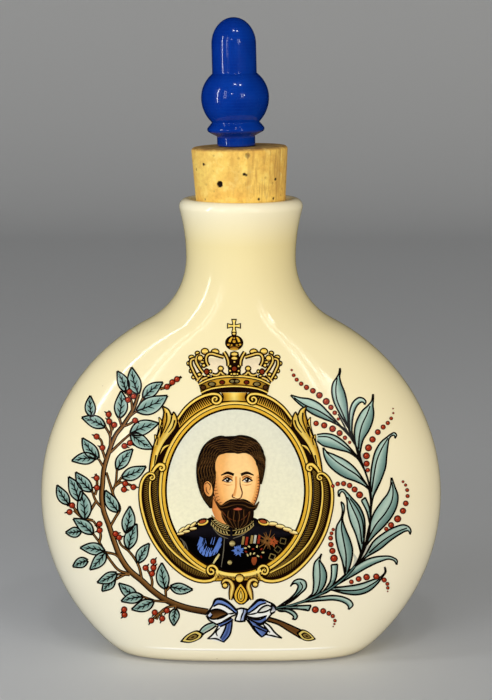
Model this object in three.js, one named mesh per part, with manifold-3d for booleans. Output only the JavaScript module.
// A glazed porcelain snuff flask, its tapered cork and the turned, lacquered knob set in the cork.
// The flask is a hollow, flattened round body on a flat foot, with a round neck and a rolled lip.
// Units are millimetres and +Z is up. The printed front faces -Y, and the origin is under the foot's middle.

import * as THREE from "three";
import { mergeVertices } from "three/addons/utils/BufferGeometryUtils.js";
import Module from "manifold-3d";

// Flask, outside
const BODY_RADIUS = 40; // the round body, seen from the front
const BODY_HALF_DEPTH = 16; // half the thickness at the belly
const BELLY_SQUARENESS = 2.6; // exponent of the belly's section: 2 is an ellipse, more is flatter
const FOOT_HALF_WIDTH = 22.9; // flat of the foot
const FOOT_HALF_DEPTH = 8.6;
const FOOT_SQUARENESS = 2.85;
const FOOT_EDGE_RADIUS = 3.6;
const SHOULDER_RADIUS = 14.1; // hollow curve from the body into the neck
const NECK_RADIUS = 10.75; // at the neck's waist
const NECK_LENGTH = 11.5; // from the waist to the crest of the lip
const LIP_OVERHANG = 1.35; // how far the lip stands out past the waist

// Flask, inside and underneath
const BODY_WALL = 3;
const FLOOR_THICKNESS = 4;
const FLOOR_EDGE_RADIUS = 4;
const NECK_WALL = 2.25;
const MOUTH_WIDENING = 0.45; // growth of the bore's radius from the waist to the mouth
const FOOT_RING_WIDTH = 3.2;
const FOOT_RECESS_DEPTH = 0.8;

// Cork
const SEAT_CLEARANCE = 0.3; // cork to mouth
const CORK_INSERTED = 12.5;
const CORK_EXPOSED = 11.65; // above the mouth's narrowest line
const CORK_TAPER = 0.061; // growth of the radius for each millimetre of height
const CORK_EDGE_RADIUS = 0.7;

// Knob
const TENON_RADIUS = 2.6;
const TENON_LENGTH = 9;
const GLUE_FILM = 0.15; // all round the tenon and under the stem
const STEM_RADIUS = 3.7;
const STEM_HEIGHT = 2;
const BEAD_RADIUS = 5.55;
const BEAD_HEIGHT = 2.7;
const BEAD_EDGE_RADIUS = 0.6; // round of the bead's rim, between its two slopes
const GROOVE_RADIUS = 4.6; // between the bead and the ball
const BALL_RADIUS = 6.57;
const BALL_CROWN_HEIGHT = 6.15; // the ball's upper half is a little flatter than its lower half
const FINIAL_RADIUS = 4.3; // the post on the ball
const FINIAL_HEIGHT = 5.55;
const DOME_HEIGHT = 5.1;

// How the hand-fitted stopper sits
const STOPPER_LEAN_DEGREES = 1.4; // towards -X
const KNOB_OFFSET = -0.6; // of the knob from the cork's axis, along X

// Fineness of the facets
const FLASK_SEGMENTS = 60;
const CORK_SEGMENTS = 60;
const KNOB_SEGMENTS = 40;
const OUTSIDE_STEPS = { edge: 6, body: 20, shoulder: 7 };
const INSIDE_STEPS = { edge: 4, body: 12, shoulder: 4 };
const FLARE_STEPS = 4;
const LIP_STEPS = 8;
const BORE_STEPS = 2;
const ARC_STEPS = 8;
const RIM_STEPS = 3;
const BEAD_STEPS = 4;
const HALF_BALL_STEPS = 5;

const HOLE_OVERRUN = 1; // how far the hole's cutter stands out of the cork
const WELD_DISTANCE = 1e-4; // points closer than this are one

const wasm = await Module();
wasm.setup();

// Heights and radii that follow from the driving dimensions
const BODY_CENTRE_Z = FOOT_EDGE_RADIUS + Math.sqrt(
  (BODY_RADIUS - FOOT_EDGE_RADIUS) ** 2 - FOOT_HALF_WIDTH ** 2,
);
const OUTSIDE = {
  discRadius: BODY_RADIUS,
  halfDepth: BODY_HALF_DEPTH,
  footDepth: FOOT_HALF_DEPTH + FOOT_EDGE_RADIUS,
  floorZ: 0,
  edgeRadius: FOOT_EDGE_RADIUS,
  shoulderRadius: SHOULDER_RADIUS,
  neckRadius: NECK_RADIUS,
  steps: OUTSIDE_STEPS,
};
const INSIDE = {
  discRadius: BODY_RADIUS - BODY_WALL,
  halfDepth: BODY_HALF_DEPTH - BODY_WALL,
  footDepth: FOOT_HALF_DEPTH + FOOT_EDGE_RADIUS - BODY_WALL,
  floorZ: FLOOR_THICKNESS,
  edgeRadius: FLOOR_EDGE_RADIUS,
  shoulderRadius: SHOULDER_RADIUS + BODY_WALL,
  neckRadius: NECK_RADIUS - NECK_WALL,
  steps: INSIDE_STEPS,
};
const WAIST_Z = waistHeight(OUTSIDE);
const LIP_CREST_Z = WAIST_Z + NECK_LENGTH;
const MOUTH_RADIUS = INSIDE.neckRadius + MOUTH_WIDENING;
const LIP_ROUND = (NECK_RADIUS + LIP_OVERHANG - MOUTH_RADIUS) / 2;
const MOUTH_Z = LIP_CREST_Z - LIP_ROUND;
const CORK_SEAT_RADIUS = MOUTH_RADIUS - SEAT_CLEARANCE;

// Height of the neck's waist: the hollow shoulder arc touches the body's disc and the upright neck.
function waistHeight({ discRadius, shoulderRadius, neckRadius }) {
  const reach = discRadius + shoulderRadius;
  return BODY_CENTRE_Z + Math.sqrt(reach ** 2 - (neckRadius + shoulderRadius) ** 2);
}

// A share from 1 to 0 that leaves and arrives level, as t goes from 0 to 1.
function easeDown(t) {
  return (1 + Math.cos(Math.PI * THREE.MathUtils.clamp(t, 0, 1))) / 2;
}

// How far a rounded edge of this radius has drawn in, at a height above its flat.
function edgeInset(radius, height) {
  const share = 1 - Math.min(height / radius, 1);
  return radius * (1 - Math.sqrt(1 - share ** 2));
}

// Half-width of the body at height z: floor edge arc, body disc, then the hollow shoulder arc.
function halfWidth(form, z) {
  const { discRadius, floorZ, edgeRadius, shoulderRadius, neckRadius } = form;
  const edgeDrop = BODY_CENTRE_Z - floorZ - edgeRadius;
  const edgeTop = BODY_CENTRE_Z - (edgeDrop * discRadius) / (discRadius - edgeRadius);
  if (z < edgeTop) {
    const edgeCentre = Math.sqrt((discRadius - edgeRadius) ** 2 - edgeDrop ** 2);
    return edgeCentre + Math.sqrt(edgeRadius ** 2 - (floorZ + edgeRadius - z) ** 2);
  }
  if (z < shoulderStart(form)) {
    return Math.sqrt(discRadius ** 2 - (z - BODY_CENTRE_Z) ** 2);
  }
  const drop = waistHeight(form) - z;
  return neckRadius + shoulderRadius - Math.sqrt(shoulderRadius ** 2 - drop ** 2);
}

// Height where the body's disc runs into the hollow shoulder arc.
function shoulderStart(form) {
  const rise = waistHeight(form) - BODY_CENTRE_Z;
  return BODY_CENTRE_Z + (rise * form.discRadius) / (form.discRadius + form.shoulderRadius);
}

// One level section of the body: a superellipse of half-width a, half-depth b and squareness n.
function bodySection(form, z) {
  const { halfDepth, footDepth, floorZ, edgeRadius, neckRadius } = form;
  const a = halfWidth(form, z);
  if (z < BODY_CENTRE_Z) {
    const down = (BODY_CENTRE_Z - z) / (BODY_CENTRE_Z - floorZ);
    const b = halfDepth - (halfDepth - footDepth) * down ** 2 - edgeInset(edgeRadius, z - floorZ);
    return { z, a, b, n: BELLY_SQUARENESS + (FOOT_SQUARENESS - BELLY_SQUARENESS) * down };
  }
  const left = easeDown((z - BODY_CENTRE_Z) / (waistHeight(form) - BODY_CENTRE_Z));
  return { z, a, b: neckRadius + (halfDepth - neckRadius) * left, n: 2 + (BELLY_SQUARENESS - 2) * left };
}

// Sections of the body from its floor up to the neck's waist, close together where it turns.
function bodySections(form) {
  const { floorZ, edgeRadius, steps } = form;
  const heights = [];
  for (let i = 0; i <= steps.edge; i++) {
    heights.push(floorZ + edgeRadius * (1 - Math.cos((Math.PI / 2) * (i / steps.edge))));
  }
  const low = Math.asin((floorZ + edgeRadius - BODY_CENTRE_Z) / form.discRadius);
  const high = Math.asin((shoulderStart(form) - BODY_CENTRE_Z) / form.discRadius);
  for (let i = 1; i <= steps.body; i++) {
    const angle = THREE.MathUtils.lerp(low, high, i / steps.body);
    heights.push(BODY_CENTRE_Z + form.discRadius * Math.sin(angle));
  }
  const waist = waistHeight(form);
  const full = Math.asin((waist - shoulderStart(form)) / form.shoulderRadius);
  for (let i = 1; i <= steps.shoulder; i++) {
    heights.push(waist - form.shoulderRadius * Math.sin(full * (1 - i / steps.shoulder)));
  }
  return heights.map((z) => bodySection(form, z));
}

// A round section.
function circle(radius, z) {
  return { z, a: radius, b: radius, n: 2 };
}

// Neck above the waist: a hollow flare that runs smoothly into the lip's round, then the bore.
function neckSections() {
  const sections = [];
  const lipCentre = MOUTH_RADIUS + LIP_ROUND;
  const rise = MOUTH_Z - WAIST_Z;
  const inward = NECK_RADIUS - lipCentre;
  const flareRadius = (inward ** 2 + rise ** 2 - LIP_ROUND ** 2) / (2 * (LIP_ROUND - inward));
  const flareEnd = Math.asin(rise / (flareRadius + LIP_ROUND));
  for (let i = 1; i <= FLARE_STEPS; i++) {
    const angle = (flareEnd * i) / FLARE_STEPS;
    const radius = NECK_RADIUS + flareRadius * (1 - Math.cos(angle));
    sections.push(circle(radius, WAIST_Z + flareRadius * Math.sin(angle)));
  }
  for (let i = 1; i <= LIP_STEPS; i++) {
    const angle = THREE.MathUtils.lerp(-flareEnd, Math.PI, i / LIP_STEPS);
    sections.push(circle(lipCentre + LIP_ROUND * Math.cos(angle), MOUTH_Z + LIP_ROUND * Math.sin(angle)));
  }
  const boreEnd = waistHeight(INSIDE);
  for (let i = 1; i < BORE_STEPS; i++) {
    const share = i / BORE_STEPS;
    const radius = THREE.MathUtils.lerp(MOUTH_RADIUS, INSIDE.neckRadius, share);
    sections.push(circle(radius, THREE.MathUtils.lerp(MOUTH_Z, boreEnd, share)));
  }
  return sections;
}

// Underside from the middle outwards: a shallow recess inside a flat foot ring.
function undersideSections() {
  const inner = { a: FOOT_HALF_WIDTH - FOOT_RING_WIDTH, b: FOOT_HALF_DEPTH - FOOT_RING_WIDTH };
  const recess = { a: inner.a - FOOT_RECESS_DEPTH, b: inner.b - FOOT_RECESS_DEPTH };
  return [
    { ...recess, z: FOOT_RECESS_DEPTH, n: FOOT_SQUARENESS },
    { ...inner, z: 0, n: FOOT_SQUARENESS },
  ];
}

// A closed skin through a run of sections, each end closed to a point on the axis at its own height.
function loft(sections, segments) {
  const positions = [0, 0, sections[0].z];
  for (const { z, a, b, n } of sections) {
    for (let j = 0; j < segments; j++) {
      const angle = (2 * Math.PI * j) / segments;
      const c = Math.cos(angle);
      const s = Math.sin(angle);
      const x = a * Math.sign(c) * Math.abs(c) ** (2 / n);
      const y = b * Math.sign(s) * Math.abs(s) ** (2 / n);
      positions.push(x, y, z);
    }
  }
  const last = positions.length / 3;
  positions.push(0, 0, sections[sections.length - 1].z);
  const at = (i, j) => 1 + i * segments + (j % segments);
  const triangles = [];
  for (let j = 0; j < segments; j++) {
    triangles.push(0, at(0, j + 1), at(0, j));
    for (let i = 0; i + 1 < sections.length; i++) {
      triangles.push(at(i, j), at(i, j + 1), at(i + 1, j + 1));
      triangles.push(at(i, j), at(i + 1, j + 1), at(i + 1, j));
    }
    triangles.push(at(sections.length - 1, j), at(sections.length - 1, j + 1), last);
  }
  const geometry = new THREE.BufferGeometry();
  geometry.setAttribute("position", new THREE.Float32BufferAttribute(positions, 3));
  geometry.setIndex(triangles);
  geometry.computeVertexNormals();
  return geometry;
}

// A profile of (radius, height) points turned about +Z.
function turned(profile, segments) {
  return new THREE.LatheGeometry(profile, segments).rotateX(Math.PI / 2);
}

// Points along an elliptical arc in the profile plane, both ends included.
function arc(centreRadius, centreZ, radialSize, heightSize, from, to, steps) {
  return Array.from({ length: steps + 1 }, (_, i) => {
    const angle = THREE.MathUtils.lerp(from, to, i / steps);
    return new THREE.Vector2(
      Math.max(centreRadius + radialSize * Math.cos(angle), 0),
      centreZ + heightSize * Math.sin(angle),
    );
  });
}

// Angle on a round where a straight slope from a point touches it: turn is 1 from below and -1 from above.
function touchAngle(point, centre, radius, turn) {
  const away = point.clone().sub(centre);
  return away.angle() + turn * Math.acos(radius / away.length());
}

// A closed geometry as a solid that can be cut.
function solid(geometry) {
  const bare = geometry.clone();
  bare.deleteAttribute("normal");
  bare.deleteAttribute("uv");
  const merged = mergeVertices(bare, WELD_DISTANCE);
  return new wasm.Manifold(new wasm.Mesh({
    numProp: 3,
    vertProperties: merged.attributes.position.array,
    triVerts: new Uint32Array(merged.index.array),
  }));
}

// A cut solid as geometry again.
function geometryOf(manifold) {
  const { vertProperties, triVerts } = manifold.getMesh();
  const geometry = new THREE.BufferGeometry();
  geometry.setAttribute("position", new THREE.BufferAttribute(vertProperties, 3));
  geometry.setIndex(new THREE.BufferAttribute(triVerts, 1));
  geometry.computeVertexNormals();
  return geometry;
}

// Hollow flask: underside, outside, lip, bore and inside as one skin.
function flaskGeometry() {
  return loft([
    ...undersideSections(),
    ...bodySections(OUTSIDE),
    ...neckSections(),
    ...bodySections(INSIDE).reverse(),
  ], FLASK_SEGMENTS);
}

// Tapered cork about its own axis, with its seat line at z = 0 and a blind hole for the knob's tenon.
function corkGeometry() {
  const radiusAt = (z) => CORK_SEAT_RADIUS + CORK_TAPER * z;
  const edge = CORK_EDGE_RADIUS;
  const foot = -CORK_INSERTED;
  const quarter = Math.PI / 2;
  const body = turned([
    new THREE.Vector2(0, foot),
    ...arc(radiusAt(foot) - edge, foot + edge, edge, edge, -quarter, 0, RIM_STEPS),
    ...arc(radiusAt(CORK_EXPOSED) - edge, CORK_EXPOSED - edge, edge, edge, 0, quarter, RIM_STEPS),
    new THREE.Vector2(0, CORK_EXPOSED),
  ], CORK_SEGMENTS);
  const holeRadius = TENON_RADIUS + GLUE_FILM;
  const holeDepth = TENON_LENGTH + GLUE_FILM;
  const hole = new THREE.CylinderGeometry(holeRadius, holeRadius, holeDepth + HOLE_OVERRUN, KNOB_SEGMENTS)
    .rotateX(Math.PI / 2)
    .translate(KNOB_OFFSET, 0, CORK_EXPOSED + (HOLE_OVERRUN - holeDepth) / 2);
  return geometryOf(solid(body).subtract(solid(hole)));
}

// Knob about its own axis, with the cork's top at z = 0: tenon, stem, bead, groove, ball, post and dome.
function knobGeometry() {
  const stemTop = new THREE.Vector2(STEM_RADIUS, STEM_HEIGHT);
  const groove = new THREE.Vector2(GROOVE_RADIUS, STEM_HEIGHT + BEAD_HEIGHT);
  const rim = new THREE.Vector2(BEAD_RADIUS - BEAD_EDGE_RADIUS, STEM_HEIGHT + BEAD_HEIGHT / 2);
  const rimFrom = touchAngle(stemTop, rim, BEAD_EDGE_RADIUS, 1) - 2 * Math.PI;
  const rimTo = touchAngle(groove, rim, BEAD_EDGE_RADIUS, -1);
  const ballZ = groove.y + Math.sqrt(BALL_RADIUS ** 2 - GROOVE_RADIUS ** 2);
  const ballFrom = -Math.acos(GROOVE_RADIUS / BALL_RADIUS);
  const ballTo = Math.acos(FINIAL_RADIUS / BALL_RADIUS);
  const domeZ = ballZ + BALL_CROWN_HEIGHT * Math.sin(ballTo) + FINIAL_HEIGHT;
  return turned([
    new THREE.Vector2(0, -TENON_LENGTH),
    new THREE.Vector2(TENON_RADIUS, -TENON_LENGTH),
    new THREE.Vector2(TENON_RADIUS, GLUE_FILM),
    new THREE.Vector2(STEM_RADIUS, GLUE_FILM),
    stemTop,
    ...arc(rim.x, rim.y, BEAD_EDGE_RADIUS, BEAD_EDGE_RADIUS, rimFrom, rimTo, BEAD_STEPS),
    ...arc(0, ballZ, BALL_RADIUS, BALL_RADIUS, ballFrom, 0, HALF_BALL_STEPS),
    ...arc(0, ballZ, BALL_RADIUS, BALL_CROWN_HEIGHT, 0, ballTo, HALF_BALL_STEPS).slice(1),
    ...arc(0, domeZ, FINIAL_RADIUS, DOME_HEIGHT, 0, Math.PI / 2, ARC_STEPS),
  ], KNOB_SEGMENTS);
}

// A named piece with its finish.
function piece(name, geometry, color, roughness) {
  const material = new THREE.MeshStandardMaterial({ color, roughness, metalness: 0 });
  const mesh = new THREE.Mesh(geometry, material);
  mesh.name = name;
  return mesh;
}

const flask = piece("flask", flaskGeometry(), "#e6dfcc", 0.12);
const cork = piece("cork", corkGeometry(), "#b98a56", 0.85);
const knob = piece("knob", knobGeometry(), "#1a2288", 0.18);
knob.position.set(KNOB_OFFSET, 0, CORK_EXPOSED);

// The stopper turns about the middle of the mouth to its lean.
const stopper = new THREE.Group();
stopper.add(cork, knob);
stopper.position.z = MOUTH_Z;
stopper.rotation.y = -THREE.MathUtils.degToRad(STOPPER_LEAN_DEGREES);

const snuffBottle = new THREE.Group();
snuffBottle.add(flask, stopper);

export default snuffBottle;
